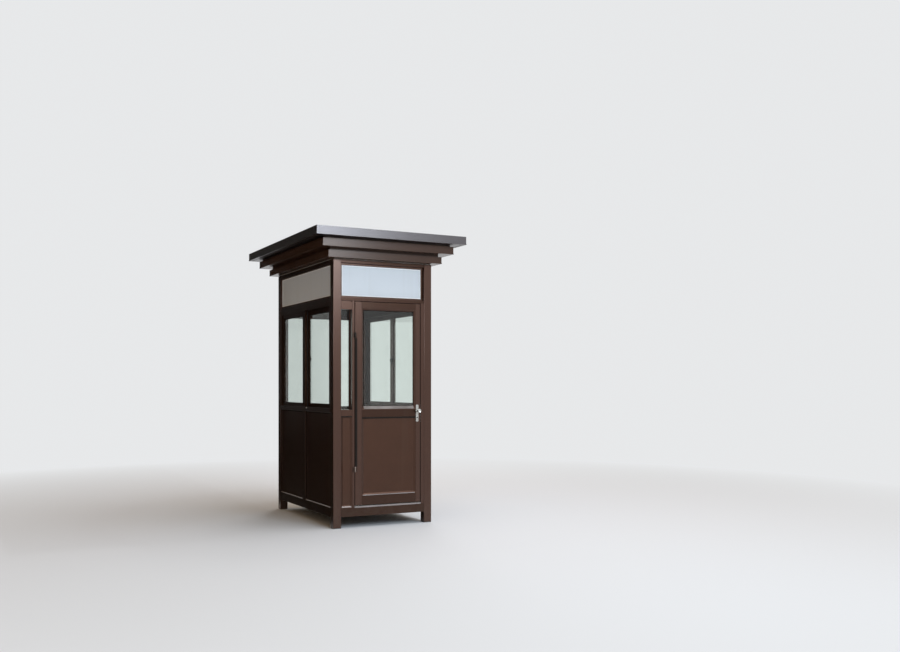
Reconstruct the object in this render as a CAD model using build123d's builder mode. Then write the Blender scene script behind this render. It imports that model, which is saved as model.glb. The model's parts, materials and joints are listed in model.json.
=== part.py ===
from build123d import *
import os

os.makedirs("parts", exist_ok=True)

# Security guard booth: an aluminium cabin on four corner posts under a stepped flat roof.
# Millimetres. Origin on the ground under the middle of the booth, +Z up, the door faces -Y.

# Overall plan and levels
width = 1000
depth = 1640
leg_gap = 104
base_rail_height = 83
lower_wall_height = 872
window_frame_height = 1026
side_transom_height = 35
front_transom_height = 28
back_transom_height = 70
top_light_height = 320
head_rail_height = 29
ceiling_thickness = 6

# Corner posts
post = 78
post_wall = 3
post_radius = 4
foot_height = 6
foot_plug = 24
foot_inset = 1.5

# Rails between the posts
rail_depth = 60
side_setback = 3
end_setback = 2
muntin_width = 90
rail_chamfer = 1.5

# Floor
floor_thickness = 20
joist_width = 50
joist_height = 50
joist_count = 3
floor_clearance = 0.5

# Infill panels of the lower walls
panel_setback = 12
panel_thickness = 30
panel_chamfer = 4

# Frosted top lights
frosted_thickness = 8
side_light_setback = 16
end_light_setback = 40
light_bead = 20
light_bead_depth = 8
bead_slope = 4

# Front wall
mullion_face = 23
sidelight_width = 108
sidelight_header = 81
header_step = 12
header_step_depth = 10
sidelight_rail_height = 57
sidelight_rail_level = 1031
sidelight_glass_setback = 64
sidelight_bead = 8
sidelight_panel_thickness = 20
jamb_width = 35
stop_overlap = 12
threshold_height = 8
threshold_chamfer = 4

# Door leaf
door_thickness = 40
hinge_gap = 5
lock_gap = 7
head_gap = 5
leaf_clearance = 8
hinge_stile = 68
lock_stile = 46
door_top_rail = 57
door_bottom_rail = 88
door_mid_rail = 69
door_mid_level = 1018
door_bead = 20
door_bead_sill = 34
door_bead_depth = 14
door_panel_thickness = 18
door_panel_setback = 12
panel_border = 20
seal_width = 22
seal_thickness = 3
seal_end_gap = 4

# Hinges
lower_hinge_level = 536
upper_hinge_level = 1777
hinge_height = 44
knuckle_radius = 8
pin_radius = 4
pin_clearance = 0.05
knuckle_gap = 0.5
hinge_plate = 3
hinge_leaf_width = 14
hinge_margin = 2
knuckle_room = 1

# Knob outside, lever inside, and the lock cylinder
handle_drop = 4
handle_plate_width = 26
handle_plate_height = 160
handle_plate_depth = 5
lever_radius = 8
lever_reach = 110
lever_stand = 36
lever_rise = 22
knob_neck_radius = 8
knob_neck_length = 22
knob_radius = 19
knob_length = 34
knob_rim = 5
cylinder_radius = 9
cylinder_drop = 42
cylinder_stand = 4

# Two-track sliding windows
track_height = 41
track_head = 40
track_jamb = 28
track_lip = 12
track_rib = 5
sash_thickness = 22
sash_gap = 6
sash_stile = 62
meeting_stile = 72
meeting_overlap = 34
sash_top_rail = 55
sash_bottom_rail = 47
sill_nose = 7
glass_thickness = 6
glass_edge = 8
glass_clearance = 0.3
latch_level = 1570
latch_plate_depth = 4
latch_plate_width = 24
latch_plate_height = 70
latch_radius = 20
latch_thickness = 9
pull_level = 1500
pull_length = 90
pull_width = 18
pull_depth = 4
weep_inset = 140
weep_width = 30
weep_height = 5

# Back window
back_sill_height = 40
back_bead = 20
back_bead_depth = 40
back_bead_setback = 10

# Stepped roof
slab_overhang = 250
middle_overhang = 160
lower_overhang = 76
lower_fascia = 64
lower_neck = 22
middle_fascia = 71
middle_neck = 15
slab_height = 76
neck_setback = 28
hem_height = 9
hem_depth = 2
ceiling_setback = 8
fascia_radius = 3
drip_inset = 26
drip_width = 8
drip_depth = 5
roof_tray_rim = 34
roof_tray_depth = 9

# Small gap between pieces that butt but stay separate
joint_gap = 0.4

# Levels worked out from the sizes above
base_top = leg_gap + base_rail_height
sill_level = base_top + lower_wall_height
side_transom_level = sill_level + window_frame_height
light_level = side_transom_level + side_transom_height
head_level = light_level + top_light_height
post_top = head_level + head_rail_height
roof_level = post_top + ceiling_thickness
door_head_height = light_level - front_transom_height
back_transom_level = light_level - back_transom_height

# Plan lines worked out from the sizes above
half_width = width / 2
half_depth = depth / 2
bay_x = half_width - post
bay_y = half_depth - post
side_face = half_width - side_setback
end_face = half_depth - end_setback
side_inner = side_face - rail_depth
end_inner = end_face - rail_depth
post_x = half_width - post / 2
post_y = half_depth - post / 2
frame_inner = half_depth - post

# Door frame and leaf lines
mullion_left = -bay_x + sidelight_width
mullion_right = mullion_left + mullion_face
jamb_left = bay_x - jamb_width
leaf_left = mullion_right + hinge_gap
leaf_right = jamb_left - lock_gap
leaf_bottom = base_top + threshold_height + leaf_clearance
leaf_top = door_head_height - head_gap
leaf_front = half_depth
leaf_back = leaf_front - door_thickness
glazing_left = leaf_left + hinge_stile
glazing_right = leaf_right - lock_stile
glazing_bottom = door_mid_level + door_mid_rail
glazing_top = leaf_top - door_top_rail
handle_level = door_mid_level + door_mid_rail / 2 - handle_drop


def bar(low, high, mode=Mode.ADD):
    """Rectangular bar between two opposite corners, in the current part."""
    size = [b - a for a, b in zip(low, high)]
    middle = tuple((a + b) / 2 for a, b in zip(low, high))
    with Locations(middle):
        Box(*size, mode=mode)


def section_bar(plane, points, length):
    """Straight bar with the closed section drawn on the plane, run along its normal."""
    with BuildSketch(plane) as section:
        with BuildLine():
            Polyline(*points, close=True)
        make_face()
    extrude(section.sketch, amount=length)


def bead_ring(plane, span, rise, bead, bead_depth, slope):
    """Glazing bead round a rectangular opening, its inner edge sloped towards the pane."""
    with BuildSketch(plane) as outline:
        Rectangle(span, rise)
    extrude(outline.sketch, amount=bead_depth)
    with BuildSketch(plane) as sight:
        Rectangle(span - 2 * bead, rise - 2 * bead)
    with BuildSketch(plane.offset(bead_depth)) as mouth:
        Rectangle(span - 2 * (bead - slope), rise - 2 * (bead - slope))
    loft(sections=[sight.sketch.face(), mouth.sketch.face()], mode=Mode.SUBTRACT)


def bordered_panel(left, right, front, low, high, thickness, setback, border):
    """Panel set back in its opening behind a sloped border, front towards -Y."""
    bar((left, front + setback, low), (right, front + setback + thickness, high))
    middle = ((left + right) / 2, front + setback, (low + high) / 2)
    plane = Plane(middle, x_dir=(1, 0, 0), z_dir=(0, -1, 0))
    bead_ring(plane, right - left, high - low, border, setback, border - 1)


def save(piece, label):
    piece.part.label = label
    export_step(piece.part, "parts/" + label + ".step")


# Corner posts, square tubes that run down as legs
for end, row_y in (("front", -post_y), ("back", post_y)):
    with BuildPart() as posts:
        with BuildSketch(Plane.XY.offset(foot_height)):
            with Locations((-post_x, row_y), (post_x, row_y)):
                RectangleRounded(post, post, post_radius)
                Rectangle(post - 2 * post_wall, post - 2 * post_wall, mode=Mode.SUBTRACT)
        extrude(amount=post_top - foot_height)
    save(posts, end + "_posts")

# Plastic feet plugged into the post ends
with BuildPart() as post_feet:
    corners = [(x, y) for x in (-post_x, post_x) for y in (-post_y, post_y)]
    with BuildSketch():
        with Locations(*corners):
            RectangleRounded(post - 2 * foot_inset, post - 2 * foot_inset, post_radius)
    extrude(amount=foot_height)
    plug = post - 2 * post_wall - 2 * glass_clearance
    with BuildSketch(Plane.XY.offset(foot_height)):
        with Locations(*corners):
            Rectangle(plug, plug)
    extrude(amount=foot_plug)
save(post_feet, "post_feet")

# Base rails, one between each pair of posts
with BuildPart() as base_rails:
    for side in (-1, 1):
        outer, inner = sorted((side * side_face, side * side_inner))
        bar((outer, -bay_y, leg_gap), (inner, bay_y, base_top))
        outer, inner = sorted((side * end_face, side * end_inner))
        bar((-bay_x, outer, leg_gap), (bay_x, inner, base_top))
    chamfer(base_rails.edges().group_by(Axis.Z)[-1], rail_chamfer)
save(base_rails, "base_rails")

# Floor deck, notched round the posts, on cross joists
floor_bottom = base_top - floor_thickness
with BuildPart() as floor_panel:
    with BuildSketch(Plane.XY.offset(floor_bottom)):
        Rectangle(2 * (side_inner - floor_clearance), 2 * (end_inner - floor_clearance))
        notch = 2 * (post / 2 + floor_clearance)
        with Locations(*corners):
            Rectangle(notch, notch, mode=Mode.SUBTRACT)
    extrude(amount=floor_thickness)
save(floor_panel, "floor_panel")

with BuildPart() as floor_joists:
    joist_pitch = 2 * bay_y / (joist_count + 1)
    for index in range(joist_count):
        joist_y = -bay_y + joist_pitch * (index + 1)
        bar(
            (-side_inner, joist_y - joist_width / 2, floor_bottom - joist_height),
            (side_inner, joist_y + joist_width / 2, floor_bottom),
        )
save(floor_joists, "floor_joists")

# Transom rails over the windows and door, head rails over the frosted top lights
with BuildPart() as transom_rails:
    for side in (-1, 1):
        outer, inner = sorted((side * side_face, side * side_inner))
        bar((outer, -bay_y, side_transom_level), (inner, bay_y, light_level))
    bar((-bay_x, -end_face, door_head_height), (bay_x, -frame_inner, light_level))
    bar((-bay_x, end_inner, back_transom_level), (bay_x, end_face, light_level))
save(transom_rails, "transom_rails")

with BuildPart() as head_rails:
    for side in (-1, 1):
        outer, inner = sorted((side * side_face, side * side_inner))
        bar((outer, -bay_y, head_level), (inner, bay_y, post_top))
        outer, inner = sorted((side * end_face, side * end_inner))
        bar((-bay_x, outer, head_level), (bay_x, inner, post_top))
save(head_rails, "head_rails")

# Frosted top lights and the beads that hold them
light_middle = (light_level + head_level) / 2
side_light_x = half_width - side_light_setback
end_light_y = half_depth - end_light_setback
with BuildPart() as top_panels:
    for side in (-1, 1):
        outer, inner = sorted((side * side_light_x, side * (side_light_x - frosted_thickness)))
        bar((outer, -bay_y, light_level), (inner, bay_y, head_level))
        outer, inner = sorted((side * end_light_y, side * (end_light_y - frosted_thickness)))
        bar((-bay_x, outer, light_level), (bay_x, inner, head_level))
save(top_panels, "top_panels")

with BuildPart() as top_panel_beads:
    inner_x = side_light_x - frosted_thickness
    inner_y = end_light_y - frosted_thickness
    side_beads = (
        Plane((side_light_x, 0, light_middle), x_dir=(0, 1, 0), z_dir=(1, 0, 0)),
        Plane((-side_light_x, 0, light_middle), x_dir=(0, 1, 0), z_dir=(-1, 0, 0)),
        Plane((inner_x, 0, light_middle), x_dir=(0, 1, 0), z_dir=(-1, 0, 0)),
        Plane((-inner_x, 0, light_middle), x_dir=(0, 1, 0), z_dir=(1, 0, 0)),
    )
    end_beads = (
        Plane((0, end_light_y, light_middle), x_dir=(1, 0, 0), z_dir=(0, 1, 0)),
        Plane((0, -end_light_y, light_middle), x_dir=(1, 0, 0), z_dir=(0, -1, 0)),
        Plane((0, inner_y, light_middle), x_dir=(1, 0, 0), z_dir=(0, -1, 0)),
        Plane((0, -inner_y, light_middle), x_dir=(1, 0, 0), z_dir=(0, 1, 0)),
    )
    for plane in side_beads:
        bead_ring(plane, 2 * bay_y, top_light_height, light_bead, light_bead_depth, bead_slope)
    for plane in end_beads:
        bead_ring(plane, 2 * bay_x, top_light_height, light_bead, light_bead_depth, bead_slope)
save(top_panel_beads, "top_panel_beads")

# Front wall: mullion between sidelight and door, lock jamb, threshold and stops
with BuildPart() as front_mullion:
    bar((mullion_left, -half_depth, base_top), (mullion_right, -frame_inner, door_head_height))
    chamfer(front_mullion.edges().filter_by(Axis.Z).group_by(Axis.Y)[0], rail_chamfer)
save(front_mullion, "front_mullion")

with BuildPart() as door_frame:
    bar((jamb_left, -end_face, base_top), (bay_x, -frame_inner, door_head_height))
    section_bar(
        Plane.YZ.offset(mullion_right),
        [
            (-frame_inner, base_top),
            (-end_face, base_top),
            (-end_face, base_top + threshold_height - threshold_chamfer),
            (-end_face + threshold_chamfer, base_top + threshold_height),
            (-frame_inner, base_top + threshold_height),
        ],
        jamb_left - joint_gap - mullion_right,
    )
save(door_frame, "door_frame")

stop_front = leaf_back - hinge_gap
stop_foot = base_top + threshold_height
with BuildPart() as door_stops:
    stop_spans = ((mullion_right, leaf_left + stop_overlap), (leaf_right - stop_overlap, jamb_left))
    for low_x, high_x in stop_spans:
        bar((low_x, -stop_front, stop_foot), (high_x, -frame_inner, door_head_height))
    bar(
        (leaf_left + stop_overlap + joint_gap, -stop_front, leaf_top - stop_overlap),
        (leaf_right - stop_overlap - joint_gap, -frame_inner, door_head_height),
    )
save(door_stops, "door_stops")

# Sidelight: stepped header, mid rail, a deep-set pane in beads, and the panel below
sidelight_head_level = door_head_height - sidelight_header
sidelight_glass_y = -half_depth + sidelight_glass_setback
sidelight_rail_top = sidelight_rail_level + sidelight_rail_height
with BuildPart() as sidelight_frame:
    section_bar(
        Plane.YZ.offset(-bay_x),
        [
            (-frame_inner, sidelight_head_level),
            (-end_face, sidelight_head_level),
            (-end_face, door_head_height - header_step),
            (-end_face + header_step_depth, door_head_height - header_step),
            (-end_face + header_step_depth, door_head_height),
            (-frame_inner, door_head_height),
        ],
        sidelight_width,
    )
    bar((-bay_x, -end_face, sidelight_rail_level), (mullion_left, -frame_inner, sidelight_rail_top))
    for bead_x in (-bay_x, mullion_left - sidelight_bead):
        bar(
            (bead_x, sidelight_glass_y - sidelight_bead, sidelight_rail_top + joint_gap),
            (bead_x + sidelight_bead, sidelight_glass_y, sidelight_head_level - joint_gap),
        )
save(sidelight_frame, "sidelight_frame")

with BuildPart() as sidelight_glass:
    bar(
        (-bay_x, sidelight_glass_y, sidelight_rail_top),
        (mullion_left, sidelight_glass_y + glass_thickness, sidelight_head_level),
    )
save(sidelight_glass, "sidelight_glass")

with BuildPart() as sidelight_panel:
    bordered_panel(
        -bay_x,
        mullion_left,
        -end_face,
        base_top,
        sidelight_rail_level,
        sidelight_panel_thickness,
        panel_setback,
        panel_border,
    )
save(sidelight_panel, "sidelight_panel")

# Door leaf: stiles, rails, glass in sloped beads, and the recessed lower panel
with BuildPart() as door_stiles:
    bar((leaf_left, -leaf_front, leaf_bottom), (glazing_left, -leaf_back, leaf_top))
    bar((glazing_right, -leaf_front, leaf_bottom), (leaf_right, -leaf_back, leaf_top))
    chamfer(door_stiles.edges().filter_by(Axis.Z).group_by(Axis.Y)[0], rail_chamfer)
save(door_stiles, "door_stiles")

rail_left = glazing_left + joint_gap / 2
rail_right = glazing_right - joint_gap / 2
bottom_rail_top = leaf_bottom + door_bottom_rail
with BuildPart() as door_rails:
    bar((rail_left, -leaf_front, leaf_bottom), (rail_right, -leaf_back, bottom_rail_top))
    bar((rail_left, -leaf_front, door_mid_level), (rail_right, -leaf_back, glazing_bottom))
    bar((rail_left, -leaf_front, glazing_top), (rail_right, -leaf_back, leaf_top))
    chamfer(door_rails.edges().filter_by(Axis.X).group_by(Axis.Y)[0], rail_chamfer)
save(door_rails, "door_rails")

glass_front = leaf_front - door_bead_depth
with BuildPart() as door_glass:
    bar(
        (glazing_left, -glass_front, glazing_bottom),
        (glazing_right, -glass_front + glass_thickness, glazing_top),
    )
save(door_glass, "door_glass")

glazing_middle = ((glazing_left + glazing_right) / 2, (glazing_bottom + glazing_top) / 2)
glazing_span = glazing_right - glazing_left
glazing_rise = glazing_top - glazing_bottom
inner_bead_depth = door_thickness - door_bead_depth - glass_thickness
with BuildPart() as door_beads:
    outer_plane = Plane(
        (glazing_middle[0], -glass_front, glazing_middle[1]), x_dir=(1, 0, 0), z_dir=(0, -1, 0)
    )
    with BuildSketch(outer_plane):
        Rectangle(glazing_span, glazing_rise)
    extrude(amount=door_bead_depth)
    sight_rise = glazing_rise - door_bead - door_bead_sill
    sight_shift = (door_bead_sill - door_bead) / 2
    with BuildSketch(outer_plane) as sight:
        with Locations((0, sight_shift)):
            Rectangle(glazing_span - 2 * door_bead, sight_rise)
    with BuildSketch(outer_plane.offset(door_bead_depth)) as mouth:
        Rectangle(glazing_span - 2 * bead_slope, glazing_rise - 2 * bead_slope)
    loft(sections=[sight.sketch.face(), mouth.sketch.face()], mode=Mode.SUBTRACT)
    inner_plane = Plane(
        (glazing_middle[0], -glass_front + glass_thickness, glazing_middle[1]),
        x_dir=(1, 0, 0),
        z_dir=(0, 1, 0),
    )
    bead_ring(inner_plane, glazing_span, glazing_rise, door_bead, inner_bead_depth, bead_slope)
save(door_beads, "door_beads")

with BuildPart() as door_panel:
    bordered_panel(
        glazing_left,
        glazing_right,
        -leaf_front,
        bottom_rail_top,
        door_mid_level,
        door_panel_thickness,
        door_panel_setback,
        panel_border,
    )
save(door_panel, "door_panel")

# Rubber guard on the face of the hinge stile, between the hinges
seal_front = -leaf_front - seal_thickness
hinge_half = hinge_height / 2
seal_low = lower_hinge_level + hinge_half + seal_end_gap
seal_high = upper_hinge_level - hinge_half - seal_end_gap
with BuildPart() as door_seal:
    bar((leaf_left, seal_front, seal_low), (leaf_left + seal_width, -leaf_front, seal_high))
    chamfer(door_seal.edges().filter_by(Axis.Z).group_by(Axis.Y)[0], seal_thickness / 2)
save(door_seal, "door_seal")

# Hinges: the frame half carries two knuckles and the pin, the door half the middle knuckle
pin_x = leaf_left - hinge_gap / 2
pin_y = -leaf_front - knuckle_radius - knuckle_room
knuckle_height = hinge_height / 3
plate_front = -leaf_front - hinge_plate
plate_reach = knuckle_radius + knuckle_room
with BuildPart() as door_frame_hinges:
    for level in (lower_hinge_level, upper_hinge_level):
        low = level - hinge_half
        bar(
            (mullion_left + hinge_margin, plate_front, low),
            (pin_x - plate_reach, -leaf_front, low + hinge_height),
        )
        for start in (low, low + 2 * knuckle_height):
            bar((pin_x - plate_reach, plate_front, start), (pin_x, -leaf_front, start + knuckle_height))
            with BuildSketch(Plane.XY.offset(start)):
                with Locations((pin_x, pin_y)):
                    Circle(knuckle_radius)
            extrude(amount=knuckle_height)
        with BuildSketch(Plane.XY.offset(low)):
            with Locations((pin_x, pin_y)):
                Circle(pin_radius)
        extrude(amount=hinge_height)
save(door_frame_hinges, "door_frame_hinges")

with BuildPart() as door_hinges:
    for level in (lower_hinge_level, upper_hinge_level):
        low = level - hinge_half
        bar(
            (pin_x + plate_reach, plate_front, low),
            (pin_x + plate_reach + hinge_leaf_width, -leaf_front, low + hinge_height),
        )
        start = low + knuckle_height + knuckle_gap
        rise = knuckle_height - 2 * knuckle_gap
        bar((pin_x, plate_front, start), (pin_x + plate_reach, -leaf_front, start + rise))
        with BuildSketch(Plane.XY.offset(start)):
            with Locations((pin_x, pin_y)):
                Circle(knuckle_radius)
        extrude(amount=rise)
        with BuildSketch(Plane.XY.offset(start)):
            with Locations((pin_x, pin_y)):
                Circle(pin_radius + pin_clearance)
        extrude(amount=rise, mode=Mode.SUBTRACT)
save(door_hinges, "door_hinges")

# Knob on the outer face of the lock stile, lever on the inner face, lock cylinders below them
handle_x = glazing_right + handle_plate_width / 2
outer_handle = Plane((handle_x, -leaf_front, handle_level), x_dir=(1, 0, 0), z_dir=(0, -1, 0))
inner_handle = Plane((handle_x, -leaf_back, handle_level), x_dir=(-1, 0, 0), z_dir=(0, 1, 0))
with BuildPart() as door_handles:
    for plane in (outer_handle, inner_handle):
        with BuildSketch(plane):
            RectangleRounded(handle_plate_width, handle_plate_height, lever_radius)
        extrude(amount=handle_plate_depth)
        with BuildSketch(plane):
            with Locations((0, -cylinder_drop)):
                Circle(cylinder_radius)
        extrude(amount=handle_plate_depth + cylinder_stand)
    with BuildSketch(inner_handle):
        with Locations((0, lever_rise)):
            Circle(lever_radius)
    extrude(amount=lever_stand + lever_radius)
    with BuildSketch(inner_handle.offset(lever_stand)):
        with Locations((lever_reach / 2, lever_rise)):
            SlotOverall(lever_reach + 2 * lever_radius, 2 * lever_radius)
    extrude(amount=lever_radius)
    knob_start = handle_plate_depth + knob_neck_length
    knob_end = knob_start + knob_length
    turning = Plane(
        (handle_x, -leaf_front, handle_level + lever_rise), x_dir=(0, -1, 0), z_dir=(1, 0, 0)
    )
    with BuildSketch(turning) as half_knob:
        with BuildLine():
            Polyline(
                (knob_end - knob_rim, 0),
                (handle_plate_depth - knob_rim / 2, 0),
                (handle_plate_depth - knob_rim / 2, knob_neck_radius),
                (knob_start, knob_neck_radius),
            )
            ThreePointArc(
                (knob_start, knob_neck_radius),
                (knob_start + knob_length / 3, knob_radius - knob_rim / 3),
                (knob_end - knob_rim, knob_radius),
            )
            ThreePointArc(
                (knob_end - knob_rim, knob_radius),
                (knob_end - 0.3 * knob_rim, knob_radius - 0.3 * knob_rim),
                (knob_end, knob_radius - knob_rim),
            )
            Polyline((knob_end, knob_radius - knob_rim), (knob_end - knob_rim, 0))
        make_face()
    revolve(half_knob.sketch, axis=Axis(turning.origin, turning.x_dir))
save(door_handles, "door_handles")

# Sliding windows of the left wall; the right wall mirrors them
outer_sash_x = -side_face + track_rib
inner_sash_x = outer_sash_x + sash_thickness + sash_gap
track_top = sill_level + track_height
track_soffit = side_transom_level - track_head
sash_bottom = track_top - track_lip
sash_top = track_soffit + track_lip
jamb_face = bay_y - track_jamb - track_lip
sash_end = bay_y - track_jamb
rib_edges = (
    (-side_face, outer_sash_x - glass_clearance),
    (outer_sash_x + sash_thickness + glass_clearance, inner_sash_x - glass_clearance),
    (inner_sash_x + sash_thickness + glass_clearance, -side_inner),
)
channel_sill = track_top - track_lip - glass_clearance
channel_head = track_soffit + track_lip + glass_clearance
channel_side = sash_end + glass_clearance

with BuildPart() as window_track_left:
    section_bar(
        Plane.XZ.offset(-bay_y),
        [
            (rib_edges[0][0], sill_level),
            (rib_edges[0][0] - sill_nose, sill_level + sill_nose),
            (rib_edges[0][0] - sill_nose, sill_level + 2 * sill_nose),
            (rib_edges[0][0], track_top),
            (rib_edges[0][1], track_top),
            (rib_edges[0][1], channel_sill),
            (rib_edges[1][0], channel_sill),
            (rib_edges[1][0], track_top),
            (rib_edges[1][1], track_top),
            (rib_edges[1][1], channel_sill),
            (rib_edges[2][0], channel_sill),
            (rib_edges[2][0], track_top),
            (rib_edges[2][1], track_top),
            (rib_edges[2][1], sill_level),
        ],
        2 * bay_y,
    )
    section_bar(
        Plane.XZ.offset(-bay_y),
        [
            (rib_edges[0][0], side_transom_level),
            (rib_edges[0][0], track_soffit),
            (rib_edges[0][1], track_soffit),
            (rib_edges[0][1], channel_head),
            (rib_edges[1][0], channel_head),
            (rib_edges[1][0], track_soffit),
            (rib_edges[1][1], track_soffit),
            (rib_edges[1][1], channel_head),
            (rib_edges[2][0], channel_head),
            (rib_edges[2][0], track_soffit),
            (rib_edges[2][1], track_soffit),
            (rib_edges[2][1], side_transom_level),
        ],
        2 * bay_y,
    )
    for side in (-1, 1):
        section_bar(
            Plane.XY.offset(track_top + joint_gap),
            [
                (rib_edges[0][0], side * bay_y),
                (rib_edges[0][0], side * jamb_face),
                (rib_edges[0][1], side * jamb_face),
                (rib_edges[0][1], side * channel_side),
                (rib_edges[1][0], side * channel_side),
                (rib_edges[1][0], side * jamb_face),
                (rib_edges[1][1], side * jamb_face),
                (rib_edges[1][1], side * channel_side),
                (rib_edges[2][0], side * channel_side),
                (rib_edges[2][0], side * jamb_face),
                (rib_edges[2][1], side * jamb_face),
                (rib_edges[2][1], side * bay_y),
            ],
            track_soffit - track_top - 2 * joint_gap,
        )
    for weep_y in (-bay_y + weep_inset, bay_y - weep_inset):
        bar(
            (-side_face - sill_nose, weep_y - weep_width / 2, channel_sill),
            (outer_sash_x, weep_y + weep_width / 2, channel_sill + weep_height),
            mode=Mode.SUBTRACT,
        )
save(window_track_left, "window_track_left")

meeting_near = meeting_overlap / 2
meeting_far = meeting_stile - meeting_near
glass_low = sash_bottom + sash_bottom_rail
glass_high = sash_top - sash_top_rail
outer_glass_span = (meeting_far, sash_end - sash_stile)
inner_glass_span = (-sash_end + sash_stile, -meeting_far)


def sash(face_x, stiles, glass_span, pull_y):
    """Sash of two stiles and two rails, grooved for its pane, with a finger pull on the room side."""
    for low, high in stiles:
        bar((face_x, low, sash_bottom), (face_x + sash_thickness, high, sash_top))
    near, far = glass_span[0] + joint_gap, glass_span[1] - joint_gap
    bar((face_x, near, sash_bottom), (face_x + sash_thickness, far, glass_low))
    bar((face_x, near, glass_high), (face_x + sash_thickness, far, sash_top))
    groove_x = face_x + sash_thickness / 2
    reach = glass_edge + glass_clearance
    bar(
        (groove_x - glass_thickness / 2 - glass_clearance, glass_span[0] - reach, glass_low - reach),
        (groove_x + glass_thickness / 2 + glass_clearance, glass_span[1] + reach, glass_high + reach),
        mode=Mode.SUBTRACT,
    )
    with BuildSketch(Plane.YZ.offset(face_x + sash_thickness)) as pull:
        with Locations((pull_y, pull_level)):
            SlotOverall(pull_length, pull_width, rotation=90)
    extrude(pull.sketch, amount=-pull_depth, mode=Mode.SUBTRACT)


def pane(face_x, glass_span):
    """Pane whose edges stand in the sash's groove."""
    middle_x = face_x + sash_thickness / 2
    bar(
        (middle_x - glass_thickness / 2, glass_span[0] - glass_edge, glass_low - glass_edge),
        (middle_x + glass_thickness / 2, glass_span[1] + glass_edge, glass_high + glass_edge),
    )


outer_stiles = ((-meeting_near, meeting_far), (sash_end - sash_stile, sash_end))
inner_stiles = ((-sash_end, -sash_end + sash_stile), (-meeting_far, meeting_near))
pull_line = jamb_face - sash_stile / 2
with BuildPart() as outer_sash_left:
    sash(outer_sash_x, outer_stiles, outer_glass_span, pull_line)
save(outer_sash_left, "outer_sash_left")

with BuildPart() as inner_sash_left:
    sash(inner_sash_x, inner_stiles, inner_glass_span, -pull_line)
save(inner_sash_left, "inner_sash_left")

with BuildPart() as window_glass_left:
    pane(outer_sash_x, outer_glass_span)
    pane(inner_sash_x, inner_glass_span)
save(window_glass_left, "window_glass_left")

# Crescent latch on the room side of each inner sash
latch_face = inner_sash_x + sash_thickness
latch_y = (meeting_near - meeting_far) / 2
with BuildPart() as latch_left:
    bar(
        (latch_face, latch_y - latch_plate_width / 2, latch_level - latch_plate_height / 2),
        (
            latch_face + latch_plate_depth,
            latch_y + latch_plate_width / 2,
            latch_level + latch_plate_height / 2,
        ),
    )
    with BuildSketch(Plane.YZ.offset(latch_face + latch_plate_depth)):
        with Locations((latch_y, latch_level)):
            Circle(latch_radius)
            with Locations((0, -latch_radius)):
                Rectangle(2 * latch_radius, latch_radius, mode=Mode.SUBTRACT)
    extrude(amount=latch_thickness)
with BuildPart() as window_latches:
    add(latch_left.part)
    mirror(latch_left.part, about=Plane.YZ)
save(window_latches, "window_latches")

for left_piece, label in (
    (window_track_left, "window_track_right"),
    (outer_sash_left, "outer_sash_right"),
    (inner_sash_left, "inner_sash_right"),
    (window_glass_left, "window_glass_right"),
):
    with BuildPart() as right_piece:
        mirror(left_piece.part, about=Plane.YZ)
    save(right_piece, label)

# Lower walls: muntins and recessed infill panels
back_sill_level = sill_level - back_sill_height
half_muntin = muntin_width / 2
panel_face = half_width - panel_setback
end_panel_face = half_depth - panel_setback
with BuildPart() as lower_muntins:
    for side in (-1, 1):
        outer, inner = sorted((side * side_face, side * side_inner))
        bar((outer, -half_muntin, base_top), (inner, half_muntin, sill_level))
    bar((-half_muntin, end_inner, base_top), (half_muntin, end_face, back_sill_level))
save(lower_muntins, "lower_muntins")

with BuildPart() as lower_panels_left:
    for low, high in ((-bay_y, -half_muntin), (half_muntin, bay_y)):
        bar((-panel_face, low, base_top), (-panel_face + panel_thickness, high, sill_level))
    chamfer(lower_panels_left.faces().group_by(Axis.X)[0].edges(), panel_chamfer)
save(lower_panels_left, "lower_panels_left")

with BuildPart() as lower_panels_right:
    mirror(lower_panels_left.part, about=Plane.YZ)
save(lower_panels_right, "lower_panels_right")

with BuildPart() as lower_panels_back:
    for low, high in ((-bay_x, -half_muntin), (half_muntin, bay_x)):
        bar((low, end_panel_face - panel_thickness, base_top), (high, end_panel_face, back_sill_level))
    chamfer(lower_panels_back.faces().group_by(Axis.Y)[-1].edges(), panel_chamfer)
save(lower_panels_back, "lower_panels_back")

# Back wall: one wide fixed pane in slim grooved beads over a sill rail
bead_face = half_depth - back_bead_setback
bead_inner = bead_face - back_bead_depth
with BuildPart() as back_window_frame:
    bar((-bay_x, bead_inner, sill_level), (bay_x, bead_face, sill_level + back_bead))
    bar((-bay_x, bead_inner, back_transom_level - back_bead), (bay_x, bead_face, back_transom_level))
    for low, high in ((-bay_x, -bay_x + back_bead), (bay_x - back_bead, bay_x)):
        bar(
            (low, bead_inner, sill_level + back_bead + joint_gap),
            (high, bead_face, back_transom_level - back_bead - joint_gap),
        )
    groove_y = (bead_face + bead_inner) / 2
    groove_half = glass_thickness / 2 + glass_clearance
    reach = back_bead - glass_edge - glass_clearance
    bar(
        (-bay_x + reach, groove_y - groove_half, sill_level + reach),
        (bay_x - reach, groove_y + groove_half, back_transom_level - reach),
        mode=Mode.SUBTRACT,
    )
save(back_window_frame, "back_window_frame")

with BuildPart() as back_window_glass:
    edge = back_bead - glass_edge
    bar(
        (-bay_x + edge, groove_y - glass_thickness / 2, sill_level + edge),
        (bay_x - edge, groove_y + glass_thickness / 2, back_transom_level - edge),
    )
save(back_window_glass, "back_window_glass")

with BuildPart() as back_sill:
    bar((-bay_x, end_inner, back_sill_level), (bay_x, end_face, sill_level))
save(back_sill, "back_sill")

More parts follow.
